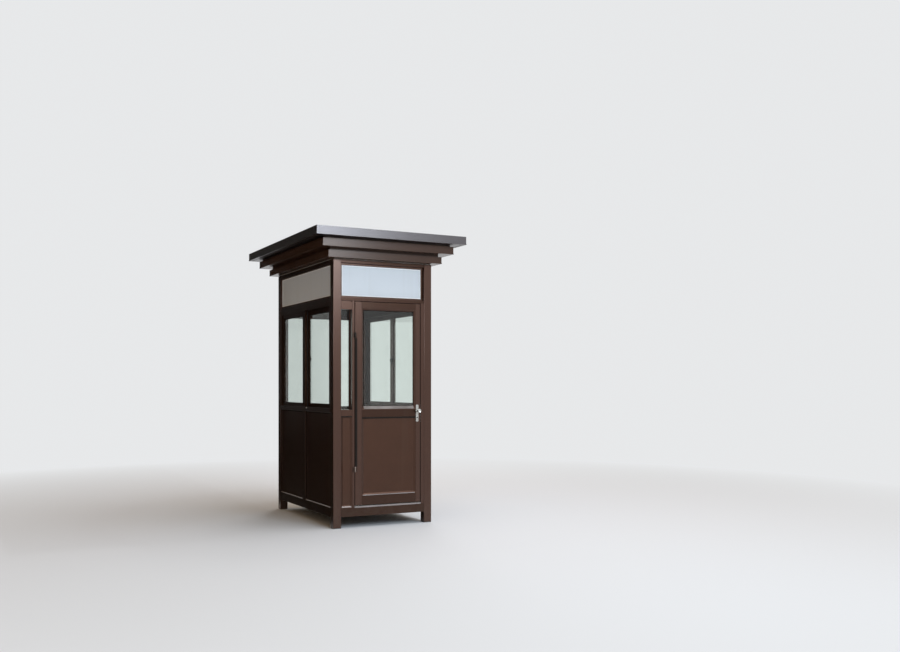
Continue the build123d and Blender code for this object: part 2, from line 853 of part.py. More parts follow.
# Ceiling and the three tiers of the roof
with BuildPart() as ceiling_panel:
    with BuildSketch(Plane.XY.offset(post_top)):
        Rectangle(width - 2 * ceiling_setback, depth - 2 * ceiling_setback)
    extrude(amount=ceiling_thickness)
save(ceiling_panel, "ceiling_panel")


def fascia_band(level, overhang, height):
    """Folded fascia: a band with a slightly proud hem along its lower edge."""
    with BuildSketch(Plane.XY.offset(level)) as hem:
        RectangleRounded(width + 2 * overhang, depth + 2 * overhang, fascia_radius)
    extrude(hem.sketch, amount=hem_height)
    inset = overhang - hem_depth
    with BuildSketch(Plane.XY.offset(level + hem_height)) as band:
        RectangleRounded(width + 2 * inset, depth + 2 * inset, fascia_radius)
    extrude(band.sketch, amount=height - hem_height)


def tier(level, overhang, fascia, neck):
    """Roof tier: a fascia band under a recessed neck."""
    fascia_band(level, overhang, fascia)
    inset = overhang - neck_setback
    with BuildSketch(Plane.XY.offset(level + fascia)) as throat:
        Rectangle(width + 2 * inset, depth + 2 * inset)
    extrude(throat.sketch, amount=neck)


middle_level = roof_level + lower_fascia + lower_neck
slab_level = middle_level + middle_fascia + middle_neck
with BuildPart() as roof_tier_lower:
    tier(roof_level, lower_overhang, lower_fascia, lower_neck)
save(roof_tier_lower, "roof_tier_lower")

with BuildPart() as roof_tier_middle:
    tier(middle_level, middle_overhang, middle_fascia, middle_neck)
save(roof_tier_middle, "roof_tier_middle")

slab_width = width + 2 * slab_overhang
slab_depth = depth + 2 * slab_overhang
with BuildPart() as roof_slab:
    fascia_band(slab_level, slab_overhang, slab_height)
    with BuildSketch(Plane.XY.offset(slab_level)):
        Rectangle(slab_width - 2 * drip_inset, slab_depth - 2 * drip_inset)
        groove_inset = drip_inset + drip_width
        Rectangle(slab_width - 2 * groove_inset, slab_depth - 2 * groove_inset, mode=Mode.SUBTRACT)
    extrude(amount=drip_depth, mode=Mode.SUBTRACT)
    with BuildSketch(Plane.XY.offset(slab_level + slab_height)):
        Rectangle(slab_width - 2 * roof_tray_rim, slab_depth - 2 * roof_tray_rim)
    extrude(amount=-roof_tray_depth, mode=Mode.SUBTRACT)
save(roof_slab, "roof_slab")
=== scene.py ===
import json
import math
import bmesh
import bpy
from mathutils import Matrix, Vector


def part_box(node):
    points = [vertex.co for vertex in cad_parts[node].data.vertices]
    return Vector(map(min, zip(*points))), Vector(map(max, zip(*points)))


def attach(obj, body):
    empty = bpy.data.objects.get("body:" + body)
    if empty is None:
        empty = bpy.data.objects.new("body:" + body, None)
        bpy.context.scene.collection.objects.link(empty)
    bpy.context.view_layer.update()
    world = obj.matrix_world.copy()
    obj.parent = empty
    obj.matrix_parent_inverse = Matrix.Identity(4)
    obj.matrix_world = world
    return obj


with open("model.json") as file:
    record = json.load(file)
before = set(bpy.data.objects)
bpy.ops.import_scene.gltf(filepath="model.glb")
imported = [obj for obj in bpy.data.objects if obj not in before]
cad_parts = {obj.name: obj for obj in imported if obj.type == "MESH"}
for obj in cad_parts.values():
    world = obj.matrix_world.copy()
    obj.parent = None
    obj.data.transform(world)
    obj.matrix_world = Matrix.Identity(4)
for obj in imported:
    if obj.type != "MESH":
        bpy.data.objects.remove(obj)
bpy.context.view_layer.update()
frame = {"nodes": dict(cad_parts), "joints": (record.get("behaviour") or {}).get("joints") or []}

# The photograph's frame and camera
PHOTO_WIDTH = 900
FOCAL_PIXELS = 950
SENSOR_WIDTH = 36
CAMERA_PLACE = (-3.5863, -8.9865, 1.3197)
CAMERA_TURN = math.radians(-27.71)
CAMERA_SHIFT = 0.0651

# Directions that faces point in, and the two long sides
FRONT, BACK, LEFT, RIGHT, UP, DOWN = (0, -1, 0), (0, 1, 0), (-1, 0, 0), (1, 0, 0), (0, 0, 1), (0, 0, -1)
SIDES = ((-1, "left"), (1, "right"))

# Lines of the booth that the fittings stand on, in metres
SIDE_FACE, END_FACE, BASE_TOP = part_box("base_rails")[1]
BAY_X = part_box("back_sill")[1].x
BAY_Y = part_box("lower_panels_right")[1].y
MUNTIN_HALF = 0.045
SIDE_PANEL_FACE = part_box("lower_panels_right")[1].x
BACK_PANEL_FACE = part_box("lower_panels_back")[1].y
TRACK_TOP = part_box("window_track_right")[0].z + 0.041
MULLION_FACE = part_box("front_mullion")[1].x
JAMB_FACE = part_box("door_stops")[1].x
THRESHOLD_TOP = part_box("door_stops")[0].z
DOOR_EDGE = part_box("door_stiles")[1].x
DOOR_MIDDLE = (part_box("door_stiles")[0].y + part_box("door_stiles")[1].y) / 2

# What the frames cover of their panes
DOOR_BEAD = 0.020
DOOR_BEAD_SILL = 0.034
SIDELIGHT_BEAD = 0.008
LIGHT_BEAD = 0.020
BACK_GLASS_EDGE = 0.008
OPEN_SIGHT = (0.0,) * 4

# The sliding sashes' stiles, rails and panes
MEETING_STILE = 0.072
END_STILE = 0.062
SASH_FOOT = 0.047
SASH_HEAD = 0.055
PANE_HALF = 0.003
SASH_BACKS = {"outer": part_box("outer_sash_right")[0].x, "inner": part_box("inner_sash_right")[0].x}
INNER_SASH_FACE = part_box("inner_sash_right")[1].x
PULL_LEVEL = 1.500

# The door's hinges and lock
HINGE_PIN = Vector(frame["joints"][0]["pos_m"])
HINGE_HALF = 0.022
HINGE_LEVELS = (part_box("door_hinges")[0].z + HINGE_HALF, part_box("door_hinges")[1].z - HINGE_HALF)
HANDLE_LEVEL = (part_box("door_handles")[0].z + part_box("door_handles")[1].z) / 2
HANDLE_X = 0.347
HANDLE_PLATES = ((FRONT, -0.825), (BACK, -0.775))

# Rubber, sealant and screws
GASKET_WIDTH = 0.004
GASKET_DEPTH = 0.003
SEALANT_WIDTH = 0.008
SEALANT_DEPTH = 0.0025
# How far the flat dark plates that paint the shade in openings stand proud
SHADE_PLATE_RISE = 0.0002


# Node trees

def set_inputs(tree, node, inputs):
    """Sets a node's inputs, each to a value, a colour in three shares or another node's output."""
    for name, value in inputs.items():
        socket = node.inputs[name]
        if isinstance(value, bpy.types.NodeSocket):
            tree.links.new(value, socket)
        elif socket.type == "RGBA":
            socket.default_value = (*value, 1)
        else:
            socket.default_value = value


def add_node(tree, kind, inputs=None, **settings):
    """One shader node with its settings and inputs."""
    made = tree.nodes.new(kind)
    for name, value in settings.items():
        setattr(made, name, value)
    set_inputs(tree, made, inputs or {})
    return made


def colour_between(tree, share, low, high):
    """Colour that runs from low to high with the share."""
    return add_node(tree, "ShaderNodeMix", {0: share, 6: low, 7: high}, data_type="RGBA").outputs[2]


def spread(tree, value, low, high, to_low=0.0, to_high=1.0):
    """Value between low and high mapped to another range, and held at its ends."""
    ends = {0: value, 1: low, 2: high, 3: to_low, 4: to_high}
    return add_node(tree, "ShaderNodeMapRange", ends).outputs[0]


def spread_noise(tree, value, to_low=0.0, to_high=1.0):
    """Noise, which mostly lies between 0.3 and 0.7, mapped to a whole range."""
    return spread(tree, value, 0.3, 0.7, to_low, to_high)


def calculate(tree, operation, first, second=0.0):
    return add_node(tree, "ShaderNodeMath", {0: first, 1: second}, operation=operation).outputs[0]


def multiply(tree, first, second):
    return calculate(tree, "MULTIPLY", first, second)


def combine(tree, operation, first, second=(0.0, 0.0, 0.0)):
    """Vector sum: an outcome that is a number is in Value, and one that is a vector in Vector."""
    return add_node(tree, "ShaderNodeVectorMath", {0: first, 1: second}, operation=operation).outputs


def parts_of(tree, vector):
    """The x, y and z of a vector."""
    return add_node(tree, "ShaderNodeSeparateXYZ", {0: vector}).outputs


def add_noise(tree, place, scale, detail, rough=0.5):
    """Noise about one half, whose finer layers are as strong as rough says."""
    settings = {"Vector": place, "Scale": scale, "Detail": detail, "Roughness": rough}
    return add_node(tree, "ShaderNodeTexNoise", settings).outputs[0]


def stretch_place(tree, place, scale):
    return add_node(tree, "ShaderNodeMapping", {"Vector": place, "Scale": scale}).outputs[0]


def lay_over(tree, under, share, strength, colour):
    """Colour laid over another by the share, as dense as its strength at most."""
    return colour_between(tree, multiply(tree, share, strength), under, colour)


def start_group(name, inputs, outputs):
    """Node group with named sockets, its inputs as seen from within, and its outputs to link to."""
    tree = bpy.data.node_groups.new(name, "ShaderNodeTree")
    for label, kind, value in inputs:
        socket = tree.interface.new_socket(name=label, in_out="INPUT", socket_type="NodeSocket" + kind)
        if value is not None:
            socket.default_value = value
    for label, kind in outputs:
        tree.interface.new_socket(name=label, in_out="OUTPUT", socket_type="NodeSocket" + kind)
    return tree, tree.nodes.new("NodeGroupInput").outputs, tree.nodes.new("NodeGroupOutput").inputs


def use_group(tree, group, inputs):
    return add_node(tree, "ShaderNodeGroup", inputs, node_tree=group).outputs


def drawn_profile():
    """Faint lines that a drawn profile keeps along its length, with an orange-peel powder coat over them."""
    tree, given, out = start_group(
        "drawn profile",
        [("Place", "Vector", None), ("Stretch", "Vector", (1, 1, 1)), ("Peel", "Float", 320.0)],
        [("Height", "Float"), ("Cloud", "Float"), ("Line", "Float")],
    )
    along = stretch_place(tree, given["Place"], given["Stretch"])
    lines = add_noise(tree, along, scale=1.0, detail=2.0)
    peel = add_noise(tree, given["Place"], scale=given["Peel"], detail=1.0)
    cloud = add_noise(tree, given["Place"], scale=5.0, detail=4.0, rough=0.6)
    height = calculate(tree, "ADD", multiply(tree, lines, 0.5), peel)
    tree.links.new(height, out["Height"])
    tree.links.new(spread_noise(tree, cloud), out["Cloud"])
    tree.links.new(spread_noise(tree, lines), out["Line"])
    return tree


def weathering():
    """Dust on what faces up and low down, and pale runs that rain leaves on upright faces."""
    tree, given, out = start_group(
        "weathering",
        [("Place", "Vector", None), ("Splash height", "Float", 0.45), ("Amount", "Float", 1.0)],
        [("Dust", "Float"), ("Runs", "Float")],
    )
    normal = add_node(tree, "ShaderNodeNewGeometry").outputs["Normal"]
    upward = spread(tree, parts_of(tree, normal)[2], 0.45, 0.95)
    fine = add_noise(tree, given["Place"], scale=17.0, detail=9.0, rough=0.66)
    height = calculate(tree, "DIVIDE", parts_of(tree, given["Place"])[2], given["Splash height"])
    low_down = calculate(tree, "POWER", spread(tree, height, 0.0, 1.0, 1.0, 0.0), 2.0)
    splash = multiply(tree, low_down, spread(tree, fine, 0.25, 0.85))
    settled = multiply(tree, upward, spread_noise(tree, fine, 0.35, 1.0))
    dust = multiply(tree, calculate(tree, "MAXIMUM", splash, settled), given["Amount"])
    tree.links.new(dust, out["Dust"])
    streaks = add_noise(tree, stretch_place(tree, given["Place"], (16.0, 16.0, 0.7)), scale=1.0, detail=3.0)
    upright = calculate(tree, "SUBTRACT", 1.0, upward)
    runs = multiply(tree, spread(tree, streaks, 0.58, 0.78), upright)
    tree.links.new(multiply(tree, runs, given["Amount"]), out["Runs"])
    return tree


def edge_rub():
    """Share of an edge's paint rubbed thin, broken up so that no edge is rubbed evenly."""
    tree, given, out = start_group(
        "edge rub", [("Place", "Vector", None), ("Radius", "Float", 0.003)], [("Rubbed", "Float")]
    )
    rounded = add_node(tree, "ShaderNodeBevel", {"Radius": given["Radius"]}, samples=4).outputs[0]
    normal = add_node(tree, "ShaderNodeNewGeometry").outputs["Normal"]
    turn = combine(tree, "DOT_PRODUCT", rounded, normal)["Value"]
    broken = add_noise(tree, given["Place"], scale=60.0, detail=5.0)
    rubbed = multiply(tree, spread(tree, turn, 0.98, 0.80), spread(tree, broken, 0.4, 0.65))
    tree.links.new(rubbed, out["Rubbed"])
    return tree


DRAWN = drawn_profile()
WEATHER = weathering()
RUB = edge_rub()


# Materials

# How fine a coat's lines are along x, y and z, on upright profiles, level ones and the rest
UPRIGHT = (260.0, 260.0, 2.0)
LEVEL = (2.0, 2.0, 260.0)
EVEN = (9.0, 9.0, 9.0)

# What lies on the coats, and how dense it gets
BLACK = (0.0, 0.0, 0.0)
DUST = (0.24, 0.21, 0.17)
RUBBED_METAL = (0.16, 0.13, 0.11)
RAIN_MARK = (0.40, 0.40, 0.38)
LINE_STRENGTH = 0.06
RUB_STRENGTH = 0.22
RUN_STRENGTH = 0.03
DUST_STRENGTH = 0.20


def start_material(name):
    """New material: its tree, the object's own coordinates and the main shader, which is its surface."""
    made = bpy.data.materials.new(name)
    made.use_nodes = True
    tree = made.node_tree
    tree.nodes.clear()
    place = add_node(tree, "ShaderNodeTexCoord").outputs["Object"]
    shader = add_node(tree, "ShaderNodeBsdfPrincipled")
    add_node(tree, "ShaderNodeOutputMaterial", {"Surface": shader.outputs[0]})
    return made, tree, place, shader


def mix_surface(tree, share, first, second):
    """Makes the material's surface run from the first shader to the second with the share."""
    both = add_node(tree, "ShaderNodeMixShader", {0: share, 1: first.outputs[0], 2: second.outputs[0]})
    tree.links.new(both.outputs[0], tree.get_output_node("ALL").inputs["Surface"])


def add_bump(tree, shader, height, strength, distance):
    settings = {"Height": height, "Strength": strength, "Distance": distance}
    bumped = add_node(tree, "ShaderNodeBump", settings)
    tree.links.new(bumped.outputs[0], shader.inputs["Normal"])


def bronze_coat(name, colours, stretch, roughness, metallic, gloss=0.3, lacquer=0.0, splash=0.45, dirt=1.0):
    """Dark bronze coat on aluminium, with a clear lacquer over it where one is given. As in the other
    materials, colours are a pair: the deeper and the lighter of a clouded surface."""
    made, tree, place, shader = start_material(name)
    drawn = use_group(tree, DRAWN, {"Place": place, "Stretch": stretch})
    weather = use_group(tree, WEATHER, {"Place": place, "Splash height": splash, "Amount": dirt})
    rubbed = use_group(tree, RUB, {"Place": place})["Rubbed"]
    base = colour_between(tree, drawn["Cloud"], *colours)
    lined = lay_over(tree, base, drawn["Line"], LINE_STRENGTH, BLACK)
    worn = lay_over(tree, lined, rubbed, RUB_STRENGTH, RUBBED_METAL)
    rained_on = lay_over(tree, worn, weather["Runs"], RUN_STRENGTH, DUST)
    set_inputs(tree, shader, {
        "Base Color": lay_over(tree, rained_on, weather["Dust"], DUST_STRENGTH, DUST),
        "Roughness": roughness,
        "Metallic": metallic,
        "Specular IOR Level": gloss,
        "Coat Weight": lacquer,
        "Coat Roughness": 0.22,
    })
    add_bump(tree, shader, drawn["Height"], 0.02, 0.0003)
    return made


def tinted_glass(name, tint):
    """Float glass, clouded very slightly in its tint, that lets lamp light through."""
    made, tree, place, shader = start_material(name)
    cloud = spread(tree, add_noise(tree, place, scale=9.0, detail=5.0), 0.35, 0.7)
    set_inputs(tree, shader, {
        "Base Color": colour_between(tree, cloud, tint, [0.97 * share for share in tint]),
        "Roughness": 0.0,
        "Transmission Weight": 1.0,
        "IOR": 1.45,
        "Specular IOR Level": 0.30,
    })
    open_way = add_node(tree, "ShaderNodeBsdfTransparent", {"Color": [0.96 * share for share in tint]})
    shadow_ray = add_node(tree, "ShaderNodeLightPath").outputs["Is Shadow Ray"]
    mix_surface(tree, shadow_ray, shader, open_way)
    return made


def satin_film(name, colours):
    """Satin white film behind glass, faintly clouded, with a fine tooth."""
    made, tree, place, shader = start_material(name)
    cloud = add_noise(tree, place, scale=3.0, detail=3.0)
    tooth = add_noise(tree, place, scale=1400.0, detail=1.0)
    weather = use_group(tree, WEATHER, {"Place": place, "Splash height": 0.1, "Amount": 1.0})
    base = colour_between(tree, spread_noise(tree, cloud), *colours)
    set_inputs(tree, shader, {
        "Base Color": lay_over(tree, base, weather["Runs"], 0.12, RAIN_MARK),
        "Roughness": spread_noise(tree, cloud, 0.34, 0.46),
    })
    add_bump(tree, shader, tooth, 0.12, 0.0002)
    return made


def plain_stuff(name, colours, roughness, grain, tooth, metallic=0.0, dust=0.25, gloss=0.5):
    """Moulded, rubbed or sprayed stuff with a grain of its own."""
    made, tree, place, shader = start_material(name)
    fine = add_noise(tree, place, scale=grain, detail=3.0)
    cloud = add_noise(tree, place, scale=14.0, detail=4.0)
    weather = use_group(tree, WEATHER, {"Place": place, "Splash height": 0.3, "Amount": 1.0})
    base = colour_between(tree, spread_noise(tree, cloud), *colours)
    set_inputs(tree, shader, {
        "Base Color": lay_over(tree, base, weather["Dust"], dust, DUST),
        "Roughness": spread_noise(tree, fine, roughness - 0.06, roughness + 0.08),
        "Metallic": metallic,
        "Specular IOR Level": gloss,
    })
    add_bump(tree, shader, fine, tooth, 0.0003)
    return made


def hinge_finish(name, leaves, shaded_knuckles, highlit_knuckles):
    """Steel hinges: coated leaves, and knuckles with painted shade at the door's head and a painted
    highlight near its foot.
    """
    made, tree, place, shader = start_material(name)
    grain = add_noise(tree, place, scale=220.0, detail=4.0)
    patch = spread_noise(tree, grain)
    dark = colour_between(tree, patch, *shaded_knuckles)
    bright = colour_between(tree, patch, *highlit_knuckles)
    leaf = colour_between(tree, patch, *leaves)
    # Painted light: knuckles are highlit below the first height and shaded above the second
    highlight_top, shade_foot, ragged = 1.0, 1.5, 0.3
    height = calculate(tree, "ADD", parts_of(tree, place)[2], multiply(tree, grain, ragged))
    knuckle = colour_between(tree, spread(tree, height, highlight_top, shade_foot), bright, dark)
    from_pin = combine(tree, "SUBTRACT", place, HINGE_PIN)["Vector"]
    level_part = combine(tree, "MULTIPLY", from_pin, (1.0, 1.0, 0.0))["Vector"]
    reach = combine(tree, "LENGTH", level_part)["Value"]
    knuckle_end, leaf_start = 0.0084, 0.0092
    set_inputs(tree, shader, {
        "Base Color": colour_between(tree, spread(tree, reach, knuckle_end, leaf_start), knuckle, leaf),
        "Roughness": spread_noise(tree, grain, 0.26, 0.42),
        "Metallic": 0.85,
    })
    add_bump(tree, shader, grain, 0.1, 0.0002)
    return made


def woven_pile(name, colours):
    """Woven pile of a sliding window's brush seal."""
    made, tree, place, shader = start_material(name)
    hair = add_noise(tree, stretch_place(tree, place, (300.0, 300.0, 2600.0)), scale=1.0, detail=2.0)
    set_inputs(tree, shader, {
        "Base Color": colour_between(tree, spread_noise(tree, hair), *colours),
        "Roughness": spread_noise(tree, hair, 0.75, 0.95),
    })
    add_bump(tree, shader, hair, 0.7, 0.0008)
    return made


def flecked_vinyl(name, colours):
    """Grey vinyl with a fleck, walked dull down the middle."""
    made, tree, place, shader = start_material(name)
    fleck = add_node(tree, "ShaderNodeTexVoronoi", {"Vector": place, "Scale": 160.0}).outputs["Color"]
    grey = add_node(tree, "ShaderNodeSeparateColor", {0: fleck}).outputs[0]
    walked = add_noise(tree, place, scale=4.0, detail=4.0)
    base = colour_between(tree, spread(tree, grey, 0.2, 0.9), *colours)
    set_inputs(tree, shader, {
        "Base Color": colour_between(tree, spread(tree, walked, 0.45, 0.8, 0.0, 0.5), base, DUST),
        "Roughness": spread_noise(tree, walked, 0.45, 0.7),
    })
    add_bump(tree, shader, grey, 0.1, 0.0003)
    return made


PROFILE = ((0.059, 0.0205, 0.0092), (0.063, 0.022, 0.010))
# Painted shade: the level rails, sashes and tracks take this darker copy of the profile's bronze
SHADED_RAIL = ((0.045, 0.018, 0.0095), (0.048, 0.0195, 0.0105))
SHEET = ((0.063, 0.0245, 0.0122), (0.067, 0.026, 0.013))
# Painted highlight: a pale copy of the bronze for strips on ledges that catch the light
LEDGE_HIGHLIGHT = ((0.24, 0.21, 0.21), (0.36, 0.33, 0.33))
# Painted highlight: a pale copy of the bronze on the slope of the door's sill bead
SILL_HIGHLIGHT = ((0.13, 0.112, 0.105), (0.25, 0.225, 0.215))
TIER = ((0.052, 0.022, 0.012), (0.058, 0.025, 0.014))
# Painted reflection: the roof slab's coat is a pale grey in place of bronze, so that its fascia looks bright
# with reflected light
SLAB_SHEEN = ((0.114, 0.104, 0.108), (0.124, 0.113, 0.118))
ROOF_TOP = ((0.062, 0.054, 0.051), (0.085, 0.074, 0.070))

upright_bronze = bronze_coat("upright_bronze", PROFILE, UPRIGHT, roughness=0.28, metallic=0.78, lacquer=0.75)
# Painted shade: the level and sash coats take the darker rail colour
level_bronze = bronze_coat("level_bronze", SHADED_RAIL, LEVEL, roughness=0.28, metallic=0.78, lacquer=0.30)
frame_bronze = bronze_coat("frame_bronze", PROFILE, EVEN, roughness=0.28, metallic=0.78, lacquer=0.65)
sash_bronze = bronze_coat("sash_bronze", SHADED_RAIL, EVEN, roughness=0.30, metallic=0.78, gloss=0.2, lacquer=0.10)
panel_bronze = bronze_coat("panel_bronze", SHEET, EVEN, roughness=0.32, metallic=0.78, lacquer=0.40)
# Painted highlight for the strips on the ledges and on the foot of the door's panel
ledge_highlight_bronze = bronze_coat("ledge_highlight_bronze", LEDGE_HIGHLIGHT, EVEN, roughness=0.30, metallic=0.30)
# Painted highlight for the slope of the door's sill bead
sill_highlight_bronze = bronze_coat("sill_highlight_bronze", SILL_HIGHLIGHT, EVEN, roughness=0.30, metallic=0.30)
tier_bronze = bronze_coat(
    "tier_bronze", TIER, LEVEL, roughness=0.22, metallic=0.15, gloss=0.45, splash=0.05, dirt=0.4
)
# Painted reflection: the slab's pale grey coat
slab_sheen_bronze = bronze_coat(
    "slab_sheen_bronze", SLAB_SHEEN, LEVEL, roughness=0.30, metallic=0.90, gloss=0.5, splash=0.05, dirt=0.3
)
roof_top_bronze = bronze_coat("roof_top_bronze", ROOF_TOP, EVEN, roughness=0.58, metallic=0.30)

window_glass = tinted_glass("window_glass", (0.875, 0.925, 0.895))
frosted_film = satin_film("frosted_film", ((0.575, 0.62, 0.675), (0.60, 0.645, 0.70)))
# Painted highlight on the lower hinge's knuckles and painted shade on the upper hinge's
hinge_steel = hinge_finish(
    "hinge_steel",
    leaves=((0.034, 0.018, 0.012), (0.058, 0.033, 0.024)),
    shaded_knuckles=((0.012, 0.010, 0.009), (0.030, 0.025, 0.022)),
    highlit_knuckles=((0.17, 0.13, 0.115), (0.27, 0.215, 0.19)),
)
brush_pile = woven_pile("brush_pile", ((0.010, 0.010, 0.010), (0.055, 0.053, 0.050)))
vinyl_floor = flecked_vinyl("vinyl_floor", ((0.10, 0.098, 0.095), (0.16, 0.155, 0.15)))

# Black rubber, which also paints the shadow lines under the front's rails
RUBBER_AND_SHADOW = ((0.010, 0.007, 0.005), (0.015, 0.010, 0.008))
STEEL = ((0.44, 0.43, 0.41), (0.56, 0.55, 0.52))
WORN_ALUMINIUM = ((0.38, 0.36, 0.34), (0.52, 0.50, 0.48))
# Black plastic, which also paints the shade in screw crosses, key slots and the lock's openings
BLACK_PLASTIC_AND_SHADE = ((0.013, 0.013, 0.013), (0.020, 0.020, 0.020))
# Painted highlight: pale plastic for the plug under the sashes' meeting point
PALE_HIGHLIGHT_PLASTIC = ((0.54, 0.54, 0.51), (0.66, 0.66, 0.63))
CEILING_WHITE = ((0.56, 0.55, 0.52), (0.62, 0.61, 0.58))
WHITE_SEALANT = ((0.78, 0.80, 0.82), (0.86, 0.88, 0.90))
GREY_SEALANT = ((0.13, 0.13, 0.125), (0.20, 0.20, 0.195))

rubber_and_shadow = plain_stuff("rubber_and_shadow", RUBBER_AND_SHADOW, 0.74, grain=500.0, tooth=0.3, dust=0.1, gloss=0.15)
steel = plain_stuff("steel", STEEL, 0.30, grain=700.0, tooth=0.1, metallic=1.0, dust=0.1)
worn_aluminium = plain_stuff(
    "worn_aluminium", WORN_ALUMINIUM, 0.34, grain=420.0, tooth=0.2, metallic=1.0, dust=0.3
)
black_plastic_and_shade = plain_stuff("black_plastic_and_shade", BLACK_PLASTIC_AND_SHADE, 0.48, grain=900.0, tooth=0.25)
pale_highlight_plastic = plain_stuff("pale_highlight_plastic", PALE_HIGHLIGHT_PLASTIC, 0.45, grain=600.0, tooth=0.15, dust=0.2)
ceiling_white = plain_stuff("ceiling_white", CEILING_WHITE, 0.55, grain=300.0, tooth=0.05, dust=0.0)
white_sealant = plain_stuff("white_sealant", WHITE_SEALANT, 0.42, grain=200.0, tooth=0.1, dust=0.1)
grey_sealant = plain_stuff("grey_sealant", GREY_SEALANT, 0.55, grain=160.0, tooth=0.3, dust=0.4)


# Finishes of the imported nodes

GLASS_NODES = (
    "sidelight_glass", "door_glass", "window_glass_left", "window_glass_right", "back_window_glass"
)
FINISHES = (
    (upright_bronze, (
        "front_posts", "back_posts", "front_mullion", "door_frame", "door_stops", "door_stiles",
        "lower_muntins",
    )),
    (level_bronze, (
        "base_rails", "floor_joists", "transom_rails", "head_rails", "door_rails", "back_sill"
    )),
    (frame_bronze, ("top_panel_beads", "sidelight_frame", "door_beads")),
    (sash_bronze, (
        "window_track_left", "window_track_right", "outer_sash_left", "outer_sash_right",
        "inner_sash_left", "inner_sash_right", "back_window_frame",
    )),
    (panel_bronze, (
        "sidelight_panel", "door_panel", "lower_panels_left", "lower_panels_right", "lower_panels_back"
    )),
    (tier_bronze, ("roof_tier_lower", "roof_tier_middle")),
    (slab_sheen_bronze, ("roof_slab",)),
    (window_glass, GLASS_NODES),
    (frosted_film, ("top_panels",)),
    (hinge_steel, ("door_frame_hinges", "door_hinges")),
    (steel, ("door_handles",)),
    (rubber_and_shadow, ("door_seal",)),
    (black_plastic_and_shade, ("post_feet", "window_latches")),
    (vinyl_floor, ("floor_panel",)),
    (ceiling_white, ("ceiling_panel",)),
)
WELD_REACH = 0.00002
EDGE_RADIUS = 0.0008
EDGE_ANGLE = 38


def dress_nodes():
    """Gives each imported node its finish, and eases the edges of what isn't glass."""
    node_finish = {name: stuff for stuff, names in FINISHES for name in names}
    for name, piece in frame["nodes"].items():
        piece.data.materials.clear()
        piece.data.materials.append(node_finish[name])
        if name in GLASS_NODES:
            continue
        joined = piece.modifiers.new("joined corners", "WELD")
        joined.merge_threshold = WELD_REACH
        eased = piece.modifiers.new("eased edges", "BEVEL")
        eased.width = EDGE_RADIUS
        eased.segments = 2
        eased.limit_method = "ANGLE"
        eased.angle_limit = math.radians(EDGE_ANGLE)
        eased.harden_normals = True


# Shapes

def make_object(name, shape, stuff, smooth=None):
    """Puts a bmesh in the scene, rounded where its faces turn by less than smooth, in degrees."""
    mesh = bpy.data.meshes.new(name)
    shape.to_mesh(mesh)
    shape.free()
    mesh.materials.append(stuff)
    if smooth:
        mesh.shade_smooth()
        mesh.set_sharp_from_angle(angle=math.radians(smooth))
    made = bpy.data.objects.new(name, mesh)
    bpy.context.scene.collection.objects.link(made)
    return made


def finish(name, shape, body, stuff, smooth=None):
    """Turns a bmesh into a named piece that rides on a body."""
    bmesh.ops.recalc_face_normals(shape, faces=shape.faces)
    piece = make_object(name, shape, stuff, smooth)
    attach(piece, body)


def edges_of(corners):
    return list(dict.fromkeys(edge for corner in corners for edge in corner.link_edges))


def ease(shape, edges, radius, segments=2):
    bmesh.ops.bevel(
        shape, geom=edges, offset=radius, segments=segments, affect="EDGES", profile=0.5, material=-1
    )


def add_block(shape, corner, opposite):
    """Plain block between two opposite corners."""
    corner, opposite = Vector(corner), Vector(opposite)
    size = [abs(share) for share in opposite - corner]
    place = Matrix.Translation((corner + opposite) / 2) @ Matrix.Diagonal((*size, 1))
    return bmesh.ops.create_cube(shape, size=1, matrix=place)["verts"]


def facing(centre, out, spin=0):
    """Place on a face: Z points out of it, and spin turns about that in degrees."""
    turned = Vector(out).to_track_quat("Z", "Y").to_matrix().to_4x4()
    return Matrix.Translation(centre) @ turned @ Matrix.Rotation(math.radians(spin), 4, "Z")


def add_stud(shape, centre, out, radius, proud, top=1.0, sides=24):
    """Round head that stands on a face, its top narrower by the share given."""
    place = facing(Vector(centre) + Vector(out) * proud / 2, out)
    bmesh.ops.create_cone(
        shape, cap_ends=True, segments=sides, radius1=radius, radius2=radius * top, depth=proud, matrix=place
    )


def add_plate(shape, centre, out, size, proud, spin=0):
    """Flat plate on a face, its size given across and up before the spin."""
    place = facing(Vector(centre) + Vector(out) * proud / 2, out, spin)
    bmesh.ops.create_cube(shape, size=1, matrix=place @ Matrix.Diagonal((*size, proud, 1)))


def make_screws(name, body, stuff, radius, places, label=""):
    """Raised countersunk heads and the crosses in them, from each head's centre, way and spin; the crosses
    are painted shade, flat dark plates on the heads.
    """
    proud = radius * 0.36
    heads, cross_shades = bmesh.new(), bmesh.new()
    for centre, out, spin in places:
        add_stud(heads, centre, out, radius, proud, top=0.72, sides=20)
        top = Vector(centre) + Vector(out) * proud
        for turn in (spin, spin + 90):
            add_plate(cross_shades, top, out, (radius * 1.1, radius * 0.24), 0.0001, turn)
    finish(name + "_screws" + label, heads, body, stuff, 40)
    finish(name + "_cross_shades" + label, cross_shades, body, black_plastic_and_shade)


def add_fillet(shape, start, end, wall, rise):
    """Three-sided strip on a ledge against a wall: wall points from the strip's foot into the wall."""
    start, end, wall = Vector(start), Vector(end), Vector(wall)
    low = [shape.verts.new(point) for point in (start, start + wall, start + wall + Vector((0, 0, rise)))]
    made = bmesh.ops.extrude_face_region(shape, geom=[shape.faces.new(low)])["geom"]
    moved = [v for v in made if isinstance(v, bmesh.types.BMVert)]
    bmesh.ops.translate(shape, vec=end - start, verts=moved)


